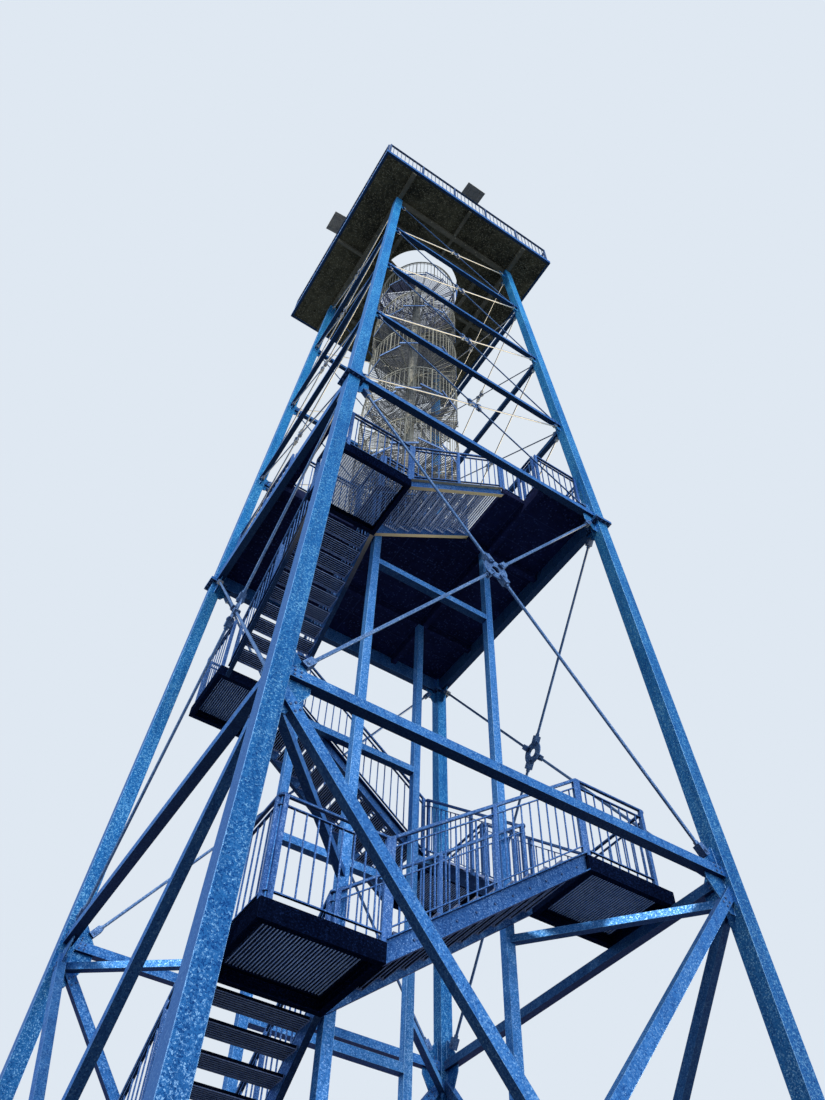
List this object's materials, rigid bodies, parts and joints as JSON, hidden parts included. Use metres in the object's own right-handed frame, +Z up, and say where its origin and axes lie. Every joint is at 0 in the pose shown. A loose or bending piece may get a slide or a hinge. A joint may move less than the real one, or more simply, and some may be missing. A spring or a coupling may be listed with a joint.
{
  "type": "lookout tower",
  "caption": "Tapering square steel frame with crossed ties, a winding stair to a lower deck, a spiral stair above it and a railed viewing platform on top.",
  "frame": {"origin": "on the ground, at the middle of the square of the four feet", "axes": "+Z up; -Y is the front side, +X the right side, where the stair starts"},
  "size_m": [6.686, 6.686, 29.3678],
  "materials": {
    "galvanised_steel": "hot-dip galvanised, matt, with spangle",
    "steel_grating": "galvanised grating, dull",
    "weathered_steel": "weathered steel, dark and dull"
  },
  "bodies": {
    "root": {"leg_front_left": "galvanised_steel", "leg_front_right": "galvanised_steel", "leg_rear_right": "galvanised_steel", "leg_rear_left": "galvanised_steel", "first_ring_beams": "galvanised_steel", "deck_ring_beams": "weathered_steel", "upper_ring_beams": "galvanised_steel", "brace_front": "galvanised_steel", "brace_right": "galvanised_steel", "brace_rear": "galvanised_steel", "brace_left": "galvanised_steel", "ties_front": "galvanised_steel", "ties_right": "galvanised_steel", "ties_rear": "galvanised_steel", "ties_left": "galvanised_steel", "stair_core": "galvanised_steel", "core_ties": "galvanised_steel", "core_struts": "galvanised_steel", "landings": "steel_grating", "flight_stringers": "galvanised_steel", "treads_1": "steel_grating", "treads_2": "steel_grating", "treads_3": "steel_grating", "treads_4": "steel_grating", "stair_rails_1": "galvanised_steel", "stair_rails_2": "galvanised_steel", "stair_rails_3": "galvanised_steel", "stair_rails_4": "galvanised_steel", "lower_deck": "weathered_steel", "deck_joists": "weathered_steel", "deck_rails": "galvanised_steel", "spiral_column": "galvanised_steel", "spiral_treads_1": "steel_grating", "spiral_treads_2": "steel_grating", "spiral_rail_1": "galvanised_steel", "spiral_rail_2": "galvanised_steel", "top_deck": "weathered_steel", "top_deck_edge": "galvanised_steel", "top_deck_beams": "weathered_steel", "top_rail_front": "galvanised_steel", "top_rail_right": "galvanised_steel", "top_rail_rear": "galvanised_steel", "top_rail_left": "galvanised_steel", "stair_head_rail": "galvanised_steel", "view_boards": "steel_grating"}
  },
  "joints": []
}
